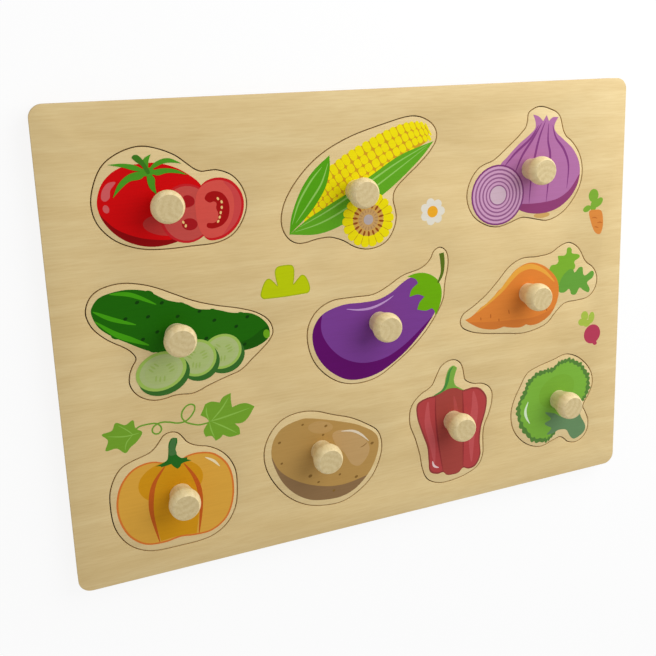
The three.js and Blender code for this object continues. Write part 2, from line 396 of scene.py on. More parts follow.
def tomato_picture():
    body = smooth([
        (-7.5, 18.2), (-1, 17.8), (6, 15.4), (12, 11.6), (16.6, 7), (18.4, 0), (15, -10), (7, -16.4),
        (-2.5, -18.5), (-11, -17.5), (-19, -13.6), (-25, -7.2), (-27.9, 0), (-27.3, 6.4), (-24, 12.5),
        (-17.5, 16.9),
    ])
    shine = smooth([
        (-19.6, 11), (-22.8, 10.9), (-25.3, 8.2), (-26.1, 4.6), (-24.6, 3.2), (-22.6, 4.6), (-22, 7.8),
    ])
    front_slice = smooth([
        (24, 9.6), (30, 8), (34.2, 3.3), (35.7, -2.6), (34.3, -9), (30.6, -14.4), (25, -17.8), (18.6, -18),
        (15.2, -13), (14, -5), (14.6, 2.5), (18, 7.8),
    ])
    flesh = smooth([
        (24, 8.5), (29.4, 6.9), (33.1, 2.8), (34.5, -2.6), (33.2, -8.5), (29.8, -13.4), (24.6, -16.6),
        (18.4, -17), (14.8, -13), (13.6, -5), (14.2, 2.3), (17.8, 7),
    ])
    chamber = smooth([
        (18, 0.6), (19.4, 3), (22.6, 3.7), (26, 2.5), (28.3, -0.8), (28.9, -5), (27.8, -9.2), (25, -12),
        (21, -13), (18.3, -12.2), (18.6, -10.4), (21.4, -10.5), (23.2, -9.2), (23.7, -6.6), (22.9, -4),
        (23.2, -1.9), (22, -0.9), (20, -1.2),
    ])
    seeds = [oval(x, y, 0.5, 0.75, turn, steps=16) for x, y, turn in (
        (23.9, 0.2, 25), (25.5, -1.4, 12), (25.4, -3.9, 0), (24.8, -6.2, -10), (24.2, -8.2, -20),
        (23.4, -10, -35), (7.8, -8.9, 20), (8.8, -10.6, -10),
    )]
    crown = (-5.9, 14.4)
    sepals = [pointed(there, back + [crown]) for there, back in (
        ([(-11, 17.6), (-16.5, 18.7), (-22.2, 18.6)], [(-16, 17), (-11, 15.2)]),
        ([(-10, 14.8), (-14.5, 13.6), (-18.6, 10), (-21.3, 4.4)], [(-17.4, 8.2), (-13.6, 10.9), (-9, 11.6)]),
        ([(-8, 18.2), (-6.6, 20.6), (-4, 21.8)], [(-5, 19.6), (-5.4, 17.4)]),
        ([(-3.4, 17.6), (0.6, 19.5), (4.4, 19.4), (8.8, 17)], [(4, 17.7), (0, 17.2)]),
        ([(-1, 15.4), (3, 15.3), (7, 14.2), (11.2, 11.8)], [(6, 13), (2, 13.3), (-2, 12.6)]),
        ([(-3.2, 11.6), (-3.2, 8.4), (-2.8, 4.4)], [(-5.4, 7.2), (-6.4, 11)]),
    )] + [oval(*crown, 3.0, 1.9)]
    return [
        inked("#cc0307", body),
        inked("#8a0206", shaded(body, [
            (-27.7, -1.4), (-25.4, -4.6), (-21.4, -8.8), (-16, -12), (-10, -14.3), (-3, -15.7), (3, -16),
            (9, -14.6),
        ])) + inked("#cc5a5c", shine, oval(-24.5, -0.1, 1.3, 1.8, 15)),
        inked("#b9322f", oval(0.6, -9.4, 10.4, 4.8, -8)),
        inked("#be1f26", oval(9.6, -5.2, 12, 13.2)),
        inked("#be4b45", oval(9.8, -5.2, 11, 12.2)),
        inked(
            "#a0141b", oval(10.6, -10.1, 3.5, 2.7, -8),
            smooth([(8.6, 2.2), (11, 2.8), (13.2, 1.2), (13.2, -1.2), (11, -2.4), (8.6, -2)]),
        ),
        inked("#c4191f", front_slice),
        inked("#d04f46", flesh),
        inked("#c64343", shaded(flesh, [(25, -16.5), (29.6, -10), (31.2, -3), (30.2, 3), (26.5, 7.8)])),
        inked("#a00c0e", chamber),
        inked("#e6c07c", *seeds),
        inked("#48941f", *sepals),
        inked(
            "#3a741b",
            smooth([
                (-6.2, 13.6), (-8.2, 17), (-11, 19.6), (-12, 21), (-11, 22), (-9.2, 21.6), (-7.2, 19),
                (-5, 14.4),
            ]),
        ),
    ]


def corn_picture():
    left_leaf = pointed(
        [(-32.3, -8.5), (-27.3, 2.8), (-20.9, 11.1), (-12.7, 17.7)],
        [(-12.9, 11), (-15, 3.5), (-19, -3), (-25, -10), (-33.9, -17.6)],
    )
    right_leaf = pointed(
        [(-24, -10.9), (-13, -5.2), (-2, 0.4), (10.5, 8), (24.5, 15.6), (41.7, 20.8)],
        [(35.5, 13.8), (26.5, 6), (16.5, -1.5), (5, -8.5), (-7, -15.5), (-20, -18.9), (-33.9, -17.6)],
    )
    top_edge = smooth([
        (-28, -9), (-24, 0.5), (-18.5, 7.5), (-12, 13), (-4, 18.2), (5, 22.6), (14, 26.6), (23, 29.6),
        (31, 30.8), (37.2, 29.6), (40.2, 25.4),
    ], closed=False, steps=24)
    cob = top_edge + [(39.4, 21), (24.5, 13), (10.5, 5.6), (-2, -2), (-13, -7.5), (-26, -13)]
    lean = math.radians(29.4)
    rows = ((2.5, 2.7), (7.4, 2.2), (11.8, 2.1), (16.0, 2.0))
    places = 25
    foot_end, foot_narrowing = 0.3, 0.28
    tip_start, tip_narrowing = 0.65, 0.36
    kernel_share = 0.47
    middles = [top_edge[round((i + 0.5) / places * (len(top_edge) - 1))] for i in range(places)]
    kernels = []
    for i, (x, y) in enumerate(middles):
        (ax, ay), (bx, by) = middles[max(i - 1, 0)], middles[min(i + 1, places - 1)]
        pitch = ((bx - ax) * math.cos(lean) + (by - ay) * math.sin(lean)) / (2 if 0 < i < places - 1 else 1)
        along = i / (places - 1)
        taper = 1 - foot_narrowing * max(0, 1 - along / foot_end)
        taper -= tip_narrowing * max(0, (along - tip_start) / (1 - tip_start))
        for depth, half in rows:
            kx = x + depth * taper * math.sin(lean)
            ky = y - depth * taper * math.cos(lean)
            if is_inside((kx, ky), cob):
                kernels.append(oval(
                    kx, ky, pitch * kernel_share, half * taper, math.degrees(lean), squareness=0.72, steps=20,
                ))
    hub = (6.1, -14.5)
    kernels_round = 18
    cut_kernel = smooth([
        (7.4, -1.1), (10, -1.6), (12.2, -1.95), (13.2, -1.25), (13.5, 0), (13.2, 1.25), (12.2, 1.95),
        (10, 1.6), (7.4, 1.1),
    ], steps=3)
    return [
        inked("#c9971c", shrunk(cob, 0.9)),
        inked("#e6d704", *kernels),
        inked("#509c10", left_leaf) + inked("#5ca11d", right_leaf),
        inked(
            "#8cc05a",
            ribbon([(-32.4, -13), (-28.6, -3), (-22.4, 6.4), (-16.6, 12.6)], 0.9),
            ribbon([(-30.6, -12.6), (-23, -3), (-17.2, 5), (-13.6, 14)], 0.9),
            ribbon([(-31, -16.6), (-18, -13.6), (-4, -7.4), (16, 4.6), (38, 18.4)], 0.9),
            ribbon([(-29, -14.6), (-14, -8), (4, 1.8), (22, 11.8), (38.6, 19.4)], 0.9),
        ),
        inked("#b58c14", oval(*hub, 12.3, 12.3)),
        inked("#e3d404", *ring_of(*hub, kernels_round, cut_kernel)),
        inked("#c89c4a", oval(*hub, 8.0, 8.0)),
        inked("#8f4a18", *ring_of(*hub, kernels_round, oval(6.9, 0, 1.4, 0.55, steps=16), 0.5)),
        inked("#bd965f", oval(*hub, 5.2, 5.2)),
        inked("#a87f54", *ring_of(*hub, kernels_round, oval(4.3, 0, 0.9, 0.25, steps=16), 0.5)),
        inked("#aca09f", oval(*hub, 2.5, 2.5)),
    ]


def onion_picture():
    body = pointed(
        [
            (14.3, 21.5), (15.3, 18), (20, 14), (26.3, 8.4), (30.2, 1.6), (30.9, -5), (29.2, -11.2),
            (24.8, -17.2), (17.5, -22), (8.7, -23.9), (0, -23.2), (-7, -20.5), (-14, -14), (-18.5, -5),
            (-18.3, 2.8), (-13.8, 7.3), (-7.5, 12.9), (-1.2, 17.3), (2.5, 20.6), (2.6, 24), (1.2, 27.6),
        ],
        [(4.5, 26.6), (7.3, 24)],
        [(9.4, 27)],
        [(10.8, 23.8)],
        [(13.2, 25.6), (16.6, 25.6)],
    )
    skins = [
        [(4.6, 22), (-0.4, 15.4), (-9.4, 8.6), (-16, 2)],
        [(6.4, 23), (1.4, 15.6), (-5.2, 7), (-9.6, -2)],
        [(8.8, 24), (5.6, 17), (3, 8), (0.6, -4), (-0.6, -18)],
        [(10.7, 22.6), (10.5, 14), (12, 6), (11.2, -6), (10, -18)],
        [(13.2, 21.6), (15.4, 15), (20.6, 8.4), (23.6, 0), (22.8, -12)],
    ]
    hub = (-19.4, -12)
    layers = [
        inked("#c49c5c", oval(7.4, -24.9, 5.0, 1.5)),
        inked("#aa6b9d", body),
        inked("#7e3a78", *[ribbon(skin, 1.3) for skin in skins]),
        inked("#883b6c", shaded(body, [
            (-9, -17.4), (0, -18.2), (9, -18.1), (17, -17), (23.4, -13.8), (27.6, -9.4), (30.6, -5),
        ])),
        inked("#7c3b73", oval(*hub, 15.6, 15.6)),
    ]
    rind = 1.2
    for radius in (14.7, 12.6, 10.5, 8.5, 6.6):
        layers.append(inked("#c797b9", oval(*hub, radius, radius)))
        layers.append(inked("#8e5a84", oval(*hub, radius - rind, radius - rind)))
    return layers + [inked("#c9adbc", oval(*hub, 4.7, 4.7))]


def cucumber_slice(x, y, half_width, half_height, turn):
    """A round slice: its thickness in shade, the skin, the pale flesh, the seed bed and the seeds."""
    def at(share):
        return oval(x, y, half_width * share, half_height * share, turn)

    seed_ring = 0.4
    seeds = []
    for third in (20, 140, 260):
        for aside in (-24, 0, 24):
            angle = math.radians(third + aside)
            seeds.append(oval(
                x + seed_ring * half_width * math.cos(angle), y + seed_ring * half_height * math.sin(angle),
                1.4, 0.45, third, steps=16,
            ))
    return [
        inked("#356827", oval(x + 1.2, y - 2.2, half_width, half_height, turn)),
        inked("#9aba55", at(0.98)),
        inked("#aab97a", at(0.84)),
        inked("#a8b974", at(0.64)),
        inked("#9ab05e", *seeds),
    ]


def cucumber_picture():
    body = smooth([
        (-23.5, 23.4), (-16.5, 23.1), (-10.3, 21.2), (-3, 16.6), (4.7, 13.9), (10.5, 10.6), (19, 9),
        (26, 6.6), (34.5, 5.2), (40, 1.8), (43.3, -3), (42.8, -8), (37.2, -11.3), (29.5, -12.4),
        (17, -12), (4, -10), (-5, -8), (-13, -5.5), (-21.5, -0.6), (-28, 3.5), (-33, 8), (-35.5, 13.5),
        (-35.3, 17.4), (-31.5, 21.6),
    ])
    bumps = [(-10.4, 20.8), (3.4, 13.6), (17.6, 8.6), (30.6, 5.2), (-26.6, 3), (-11, -5.6)]
    streaks = [
        ribbon([(-27.5, 22.4), (-18.5, 21), (-7.8, 15.2)], 2.0),
        ribbon([(-35, 15.6), (-27.4, 11.2), (-17.3, 7.2)], 2.0),
        ribbon([(-34.4, 11), (-26.6, 4.4), (-19.6, 0.6), (-12.4, -3)], 2.6),
    ]
    warts = [
        (-16, 17.2), (-5.3, 15.6), (-11.8, 10.1), (-21.6, 10.5), (1.2, 8.4), (-8.3, 2.6), (-14.8, 0.1),
        (11.2, 9.4), (17.7, 4.2), (27.7, -0.2), (13.4, -3.8), (33.2, 3.6), (31.2, -9.4), (-1.6, -3.4),
        (22.4, -4),
    ]
    layers = [
        inked("#1c6203", body, *[oval(x, y, 1.9, 1.0, -25, steps=16) for x, y in bumps]),
        inked("#175303", shaded(body, [
            (-8, -7.2), (6, -7.6), (20, -8.4), (32, -7.6), (40, -3.4), (43.4, -2),
        ])) + inked("#429a0e", *streaks),
        inked("#0c3a03", *[oval(x, y, 0.95, 0.7, 25, steps=16) for x, y in warts])
        + inked("#68a018", oval(42.0, -6, 1.6, 2.2, 10)),
    ]
    return (
        layers + cucumber_slice(20.4, -11.2, 9.4, 8.5, 8) + cucumber_slice(8.6, -12.4, 9.2, 9.0, 0)
        + cucumber_slice(-7.9, -16, 11.8, 9.2, 14)
    )


def eggplant_picture():
    body = smooth([
        (-28.7, 8.6), (-18.7, 11.4), (-8, 11.2), (0, 11.6), (7, 14.2), (13, 18.2), (18, 20.4), (24, 19),
        (30, 11), (31, 2), (30.4, -0.6), (25, -7.4), (16.2, -16), (7.5, -22.2), (-1.2, -26.5),
        (-10.6, -28), (-19, -26.5), (-27.5, -20.4), (-33.2, -12.2), (-35.2, -3.6), (-33.7, 3.3),
    ])
    cap = pointed(
        [(20.5, 22.2), (26.5, 21.6), (32.4, 18), (35.1, 12), (34.4, 5), (31.6, -1)],
        [(30.8, 1.6), (29.4, 3)],
        [(26, 2.2), (21.2, 3.4)],
        [(22.6, 7), (25.4, 9.6)],
        [(21.6, 11.2), (17, 10.6)],
        [(18.2, 14.2), (21.8, 17)],
        [(20.4, 19.4), (16, 21.1)],
    )
    stalk = pointed(
        [(34.7, 21), (34.5, 27), (33.9, 30.8)],
        [(36.6, 31.1)],
        [(37, 25.5), (36, 19.5), (33.4, 15.6)],
        [(32.6, 16)],
    )
    return [
        inked("#753b8c", body),
        inked("#5c0a62", shaded(body, [
            (-29.6, 8.2), (-30.6, 2), (-29.2, -4), (-25, -10.6), (-19, -16), (-11, -19.4), (-3, -20),
            (5, -18.4), (13, -14.4), (21, -8.6), (30, -1),
        ])),
        inked("#b892c8", ribbon([
            (-17, 9), (-11.6, 7.9), (-6, 7.6), (-1, 8.4), (4, 10.2), (8.2, 12.4),
        ], 1.2)) + inked("#68a606", cap),
        inked("#546a18", stalk),
    ]


def carrot_picture():
    body = pointed(
        [(-33.6, -8), (-28.2, -4)],
        [(-24.6, -2.2), (-20.8, 0.6)],
        [(-17.6, 3.8), (-14.4, 5.2)],
        [
            (-9.6, 11.7), (-4, 15.2), (2.3, 16.2), (9.7, 13.8), (16, 8.7), (19.2, 3.6), (20, -2.6),
            (18.4, -8.8), (14.6, -14.2), (8.4, -17.6), (3, -18.4), (-0.6, -17.4),
        ],
        [(-4.4, -18.5), (-10, -17.8), (-14.6, -16.6)],
        [(-20, -17.3), (-28, -15.6), (-34, -12.4), (-37.8, -9.6)],
    )
    pale_leaf = smooth([
        (13.5, 9.5), (14.8, 13), (18, 13.4), (19.4, 15), (19.2, 17.8), (22.6, 17.6), (24.4, 18.6),
        (24.8, 21.2), (26.4, 21.8), (27.8, 20.6), (28.2, 18.3), (32.5, 17.2), (33, 15.4), (29.8, 13.6),
        (30.4, 10.4), (27.5, 7), (24, 3), (19.5, 1.5), (17, 5),
    ])
    deep_leaf = smooth([
        (19.8, -1.8), (20.5, 3), (23, 7), (26.4, 9.4), (29, 9.2), (30.2, 7.4), (33, 9.8), (35.2, 9.6),
        (35.8, 6), (37.4, 4.9), (41.4, 7), (43, 5.4), (42, 3), (38.6, 0.8), (40.4, -3), (39.4, -4.9),
        (36, -3.2), (33.6, -1.6), (31.4, -4.8), (28.4, -4.6), (26.8, -1.4), (23.5, -3),
    ])
    rings = [
        [(-22.6, -8.4), (-22.5, -10.8)], [(-11.6, -7.6), (-11.2, -10.2)], [(-17.6, -11.6), (-17.4, -13.4)],
        [(-28.6, -9.4), (-28.4, -11.2)], [(12.2, -9.6), (12.6, -12)],
    ]
    gloss = [
        (-31, -6.6), (-22, -1), (-15.4, 4), (-10.4, 9), (-5, 13), (2, 14.2), (9, 11.4), (13.4, 7.8), (17, 4),
    ]
    return [
        inked("#76a82e", pale_leaf),
        inked("#629a39", deep_leaf),
        inked("#d67e33", body),
        inked("#ca7430", shaded(body, [(-36, -11), (-24, -12.6), (-10, -13.6), (4, -14), (17, -11)]))
        + inked("#dfa03e", ribbon(gloss, 2.9)),
        inked("#b05e24", *[ribbon(ring, 0.6) for ring in rings]),
    ]


def pumpkin_picture():
    body = smooth([
        (-2, 16), (4, 18.6), (10, 19.1), (17, 17.1), (22.8, 11), (25.3, 2.5), (24.8, -8), (21, -17),
        (13.5, -22), (5, -22.4), (-1.5, -21.6), (-9, -22.6), (-18, -21.4), (-25, -15.5), (-28.8, -6.5),
        (-29.2, 2.5), (-26.5, 11), (-20.5, 17.2), (-12, 19),
    ])
    middle_lobe = pointed(
        [(-12, 6), (-13.6, -5), (-10.8, -21.4)],
        [(-2, -20.8), (6, -21.6)],
        [(8.6, -5), (7, 6), (1.5, 15.6)],
        [(-2.5, 15), (-6.5, 15.6)],
    )
    stalk = pointed(
        [(-7.4, 17.2), (-5, 18.4), (-4.2, 22), (-3.8, 26), (-2.2, 28.5), (0.2, 28.2)],
        [(0.2, 26), (-0.8, 23), (-0.4, 20), (1.6, 18), (4.4, 17.8)],
        [(4.2, 16.8), (6.2, 15.8)],
        [(3, 15.6), (1.2, 15)],
        [(0.6, 13.8), (-0.6, 13)],
        [(-2, 14.2), (-3.4, 16)],
        [(-5.6, 15.6), (-8, 15.4)],
        [(-8.4, 16), (-10.5, 16.3)],
    )
    return [
        inked("#d4742e", body),
        inked("#d8a23e", shrunk(body, 0.9)),
        inked("#cd9014", middle_lobe, oval(-4, 7.4, 15, 10.4)),
        inked(
            "#be5a1c",
            ribbon([(-6.2, 15.6), (-11.4, 8.6), (-13.6, 1), (-13.8, -8), (-11.4, -21.6)], 2.4),
            ribbon([(2.4, 15.2), (6.6, 8), (8.8, 0.6), (9, -9), (7.2, -21.6)], 2.2),
        ),
        inked("#23681f", stalk) + inked("#ead9b0", ribbon([(12.5, 16), (16.4, 13.4), (19.2, 10)], 1.2)),
        inked("#45723c", smooth([
            (-3.8, 20.4), (-3.4, 25.6), (-2, 28.1), (-0.2, 27.6), (-1, 23.6), (-0.6, 20.6),
        ])),
    ]


def potato_picture():
    body = smooth([
        (-10.3, 18.3), (-19, 15.9), (-24, 10.4), (-25.6, 3), (-24, -4.7), (-20.2, -13.2), (-14, -20.5),
        (-6, -25.4), (3.5, -27.2), (11, -27), (18.5, -24), (25.8, -17), (30.2, -8.4), (31.2, -0.8),
        (28.5, 4.2), (21, 9.2), (13.5, 12.3), (3.5, 15.6), (-5.2, 18),
    ])
    pale_side = smooth([
        (6.4, 7.4), (12, 8.6), (20, 4.4), (25.6, -1.6), (25.4, -7.4), (20.6, -12.4), (16, -10.6), (12.4, -4),
        (8, 1.4),
    ])
    eyes = [
        (3, 12.4, 0.7), (1.4, 8, 0.6), (27.6, -1.8, 0.8), (18.4, -18.2, 0.8), (-6.2, -12.4, 0.9),
        (-2, -16.6, 0.6), (-21.2, 8.4, 0.7), (-20.6, -2.6, 0.6), (-9, 15.4, 0.6), (9.5, -15, 0.6),
        (6, -23, 0.7),
    ]
    return [
        inked("#b28c4e", body),
        inked("#896b48", shaded(body, [
            (-25.5, 2), (-23, -4.2), (-19.4, -8.8), (-13.4, -13.4), (-6, -17.2), (3, -20), (11, -20.8),
            (18, -20), (24.5, -18.6),
        ])) + inked("#ba955c", oval(0.2, 12.2, 6.6, 3.2, -12)) + inked("#bd9965", pale_side),
        inked("#83622f", *[oval(x, y, 1.2 * size, 0.85 * size, 20, steps=16) for x, y, size in eyes])
        + inked("#dccdb4", ribbon([(11, 8), (17, 7), (21.6, 4.2), (25.8, -0.2)], 1.3))
        + inked("#8c6a38", ribbon([(21, -2.8), (23, -2.2), (25, -0.8)], 0.5)),
    ]


def pepper_picture():
    body = smooth([
        (-20.7, 12.6), (-15.7, 15.2), (-9.8, 15.8), (-6, 17.4), (-2, 18.2), (2.4, 17.7), (6, 16),
        (8.7, 16), (12.5, 16.3), (17, 14.7), (20.7, 9.3), (20.2, 1.8), (17.5, -7), (16.6, -14.6),
        (17, -23), (14.2, -28.6), (9.8, -29.8), (6.2, -28.5), (3, -30.8), (-3.2, -30.6), (-5.8, -28.4),
        (-9.5, -28.6), (-13.8, -26.2), (-14.5, -19.5), (-15.2, -12), (-18.2, -3.3), (-20.8, 5.5),
    ])
    middle_lobe = pointed(
        [(-10, 4), (-8.4, -12), (-5.8, -28.2)],
        [(-3.2, -30.4), (3, -30.6), (6.2, -28.4)],
        [(6.4, -12), (6.4, 4), (6, 15.8)],
        [(2.4, 17.5), (-2, 18), (-6, 17.2), (-9.8, 15.6)],
    )
    stalk = pointed(
        [(-7, 17.3), (-4.8, 20), (-4, 24), (-2.6, 28), (-0.8, 30), (1, 30.3)],
        [(2.8, 28.8)],
        [(1.6, 25.4), (0.9, 22), (2, 19.2), (4.6, 17.2), (7, 15.6)],
        [(5, 16.2), (2.4, 17.6), (-2, 18.1), (-6, 17), (-12, 15.6)],
    )
    return [
        inked("#8f3b38", body),
        inked("#af4142", shrunk(body, 1.0)),
        inked("#a0433c", shrunk(middle_lobe, 0.3)) + inked(
            "#bc5254",
            ribbon([(-14.4, 13), (-14.8, 2), (-12.2, -10), (-11, -22)], 4.0),
            ribbon([(12.6, 14), (13.4, 4), (11.6, -9), (11.4, -26)], 4.6),
        ),
        inked(
            "#8c3031",
            ribbon([(-9.9, 15.4), (-10, 4), (-8.4, -12), (-5.8, -28.4)], 0.9),
            ribbon([(6.1, 15.6), (6.4, 4), (6.4, -12), (6.2, -28.6)], 0.9),
        ) + inked("#ad4b48", ribbon([(0.8, 13.6), (2.2, 4), (3, -12)], 2.2)),
        inked("#76a741", stalk)
        + inked("#e6c6c6", ribbon([(-12.2, -20.6), (-11.2, -23.6), (-8.4, -25.2)], 1.2)),
        inked("#47873b", ribbon([(-11, 15.7), (-5.6, 17.8), (-3.2, 22), (-1.8, 27), (0.4, 29.8)], 1.7)),
    ]


def broccoli_picture():
    crown = smooth([
        (5.2, 22.3), (11.5, 20.2), (16.5, 15.9), (20, 10.3), (20.6, 4), (18.6, -2), (14, -5), (9, -8),
        (4, -12), (0, -17), (-4, -22), (-8.5, -23.4), (-16, -21.4), (-22.2, -14.8), (-26.1, -6),
        (-25.9, 1.5), (-22.3, 7.7), (-20.2, 12.7), (-16, 16.4), (-9.8, 18.3), (-4.8, 18.4), (0.2, 21.2),
    ], steps=24)
    stem = smooth([
        (-8.4, -6.4), (-2, -8.2), (3, -11), (8, -9), (14, -10.2), (16, -13.8), (19, -19.5), (17.6, -23.5),
        (12, -26), (8.8, -24), (6, -19.5), (1, -18.5), (-3, -19.8), (-7, -19.6), (-4, -16.6), (-7.2, -14.4),
        (-8.4, -12.6), (-4.5, -10.8),
    ])
    return [
        inked("#547e38", scalloped(crown, 50, 1.0)),
        inked("#78ad3c", scalloped(shrunk(crown, 2.3), 44, 0.9)),
        inked("#75a836", oval(-1, 5, 12, 9, 20)),
        inked("#64875d", stem)
        + inked("#d0e4c0", ribbon([(-19.6, 2), (-21.3, -2.6), (-20.8, -6.6), (-18.4, -11)], 1.6)),
    ]


def board_picture():
    """The small motifs between the cut-outs, measured from the board's middle."""
    flower = (33.1, 49.1)
    petals = ring_of(*flower, 7, ribbon([(0, 0), (4.4, 0), (6.8, 0)], 4.6, 0.3))
    sprig = pointed(
        [(-45, 16), (-34, 16.3)],
        [(-32.7, 17.8), (-33, 21), (-34.6, 24.6), (-36.6, 25.6), (-38.4, 24.2), (-40.9, 21.6)],
        [
            (-40.3, 25), (-40.2, 29), (-41.4, 30.9), (-45, 31.3), (-48.4, 30.8), (-49.7, 28.6),
            (-49.4, 25), (-48.7, 21.8),
        ],
        [(-51, 24.6), (-53, 25.8), (-55, 24.2), (-56.8, 20), (-57, 17.6), (-55.6, 16.2)],
    )
    little_carrot = smooth([
        (127.8, 39.6), (132, 40.8), (136, 39.6), (137.3, 34), (136.6, 28.6), (134.4, 27), (131, 30),
    ])
    carrot_tops = [
        oval(130.5, 48.6, 3.2, 3.6), oval(133.8, 44.6, 3.4, 2.0, 38), oval(126.4, 41.8, 2.6, 1.7, 18),
        oval(130.6, 43, 2.0, 3.2, -6),
    ]
    carrot_rings = [ribbon(line, 0.7) for line in (
        [(129.6, 36.4), (131.6, 36.6), (133.4, 35.8)], [(133.2, 33.4), (135.2, 33.6), (136.8, 33)],
        [(131.4, 31.4), (133, 31.2), (134.4, 30.6)],
    )]
    radish_tops = [
        oval(126.9, -18.2, 2.4, 2.8, 24), oval(125.4, -21.6, 2.8, 2.1, -14),
        oval(131.4, -19.8, 2.0, 3.3, -10), oval(128.4, -22.6, 2.4, 2.0),
    ]
    radish = [
        oval(132.25, -29.4, 5.5, 5.5), ribbon([(132.6, -33.4), (134.2, -34.8), (135.6, -35.6)], 2.6),
    ]
    right_leaf = pointed(
        [(-66.5, -33.2), (-69.8, -32.8), (-73.8, -33.8)],
        [(-74.2, -30), (-74, -26.6)],
        [(-77.8, -28), (-79.6, -30.4)],
        [(-83.4, -29.2), (-86.4, -29.9)],
        [(-87.6, -32.4), (-89, -35)],
        [(-86.6, -36.6), (-85.2, -38.6)],
        [(-87.4, -41.6), (-88, -43.4), (-87.2, -46)],
        [(-84.4, -46.2), (-82.6, -48.9)],
        [(-80.4, -48), (-79, -46.6)],
        [(-75.6, -48.4), (-70.8, -48)],
        [(-71, -44.8), (-73, -42.2)],
        [(-69.4, -42.4), (-66.4, -40.4), (-63, -35.4)],
    )
    left_leaf = smooth([
        (-119.4, -31.4), (-123, -33), (-127, -31.2), (-129, -34.6), (-133.4, -35.6), (-131, -39),
        (-132.4, -43.6), (-127.6, -43.4), (-124, -46.4), (-121.4, -44), (-118.4, -41.8), (-115.8, -38),
        (-118.6, -35.4),
    ])
    vines = [ribbon(line, 0.75, 1.0) for line in (
        [
            (-118.6, -36), (-116.6, -34.9), (-113, -34.6), (-109.6, -34.9), (-107.6, -36.4), (-107.2, -38.4),
            (-108.4, -39.9), (-110, -40),
        ],
        [
            (-110, -40), (-111.2, -38.8), (-111, -36.9), (-109.2, -35.4), (-106.4, -34.9), (-103, -35.6),
            (-99.6, -36.7), (-96.2, -36.5), (-93.4, -34.6), (-91.5, -31.9),
        ],
        [
            (-91.5, -31.9), (-91.4, -29.8), (-93, -28.7), (-95.4, -29.4), (-97.3, -31.8), (-97.5, -34.4),
            (-96, -36.8), (-93.2, -38.4), (-89.6, -39.5), (-85, -39.2),
        ],
    )]
    veins = [ribbon(line, width) for width, line in (
        (0.8, [(-85.2, -38.8), (-78, -38), (-65.5, -35.8)]),
        (0.7, [(-84, -38.6), (-79, -33.8), (-75.2, -28.6)]),
        (0.6, [(-85, -38.6), (-86, -34.8), (-86, -31.4)]),
        (0.7, [(-84, -39), (-78.4, -42.6), (-72.4, -47)]),
        (0.6, [(-85, -39), (-84.4, -43), (-83, -47.4)]),
        (0.6, [(-117, -38), (-123.6, -38.4), (-131, -37)]),
        (0.5, [(-120, -38.2), (-122.4, -35.6), (-126, -32.6)]),
        (0.5, [(-120, -38.2), (-123, -41.4), (-124, -45)]),
    )]
    return [
        inked("#dad5c7", *petals) + inked("#a0ad0c", sprig) + inked("#76a232", *carrot_tops)
        + inked("#a2b846", *radish_tops) + inked("#6c9a30", *vines) + inked("#719f2c", right_leaf, left_leaf),
        inked("#e4a426", oval(*flower, 2.9, 2.9)) + inked("#b6c404", offset(sprig, -0.5))
        + inked("#d0823a", little_carrot) + inked("#ae3a54", *radish) + inked("#8ab84a", *veins),
        inked("#b8682a", *carrot_rings),
    ]


PICTURES = {
    "tomato": tomato_picture, "corn": corn_picture, "onion": onion_picture, "cucumber": cucumber_picture,
    "eggplant": eggplant_picture, "carrot": carrot_picture, "pumpkin": pumpkin_picture,
    "potato": potato_picture, "pepper": pepper_picture, "broccoli": broccoli_picture,
}


# Meshes

def finish_mesh(name, mesh, materials, crease):
    """Turns a bmesh into an object with its materials, shaded smooth but for edges past the crease angle."""
    bmesh.ops.recalc_face_normals(mesh, faces=mesh.faces)
    data = bpy.data.meshes.new(name)
    for face in mesh.faces:
        face.smooth = True
    mesh.to_mesh(data)
    mesh.free()
    data.set_sharp_from_angle(angle=math.radians(crease))
    for material in materials:
        data.materials.append(material)
    thing = bpy.data.objects.new(name, data)
    bpy.context.scene.collection.objects.link(thing)
    return thing


def bridge(mesh, below, above):
    """The faces of a wall between two closed rings; with a ring of one point they are a fan."""
    count = max(len(below), len(above))
    faces = []
    for i in range(count):
        k = (i + 1) % count
        corners = [below[i % len(below)], below[k % len(below)], above[k % len(above)], above[i % len(above)]]
        faces.append(mesh.faces.new(list(dict.fromkeys(corners))))
    return faces


def top_rims(node):
    """The closed loops round a sheet's top face, read from its CAD solid, the largest first, in metres."""
    solid = bmesh.new()
    solid.from_mesh(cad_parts[node].data)
    bmesh.ops.remove_doubles(solid, verts=solid.verts, dist=SAME_POINT)
    solid.normal_update()
    top = max(vertex.co.z for vertex in solid.verts)

    def is_top(face):
        return face.normal.z > LOOKS_UP and abs(face.verts[0].co.z - top) < SAME_HEIGHT

    neighbours = {}
    for edge in solid.edges:
        if sum(is_top(face) for face in edge.link_faces) == 1:
            one, other = edge.verts
            neighbours.setdefault(one.index, []).append(other.index)
            neighbours.setdefault(other.index, []).append(one.index)
    solid.verts.ensure_lookup_table()
    loops = []
    while neighbours:
        here, pair = next(iter(neighbours.items()))
        loop = []
        last = pair[0]
        while here in neighbours:
            loop.append(tuple(solid.verts[here].co.xy))
            pair = neighbours.pop(here)
            here, last = (pair[0] if pair[0] != last else pair[1]), here
        loops.append(loop)
    solid.free()
    return sorted(loops, key=lambda loop: -abs(area(loop)))


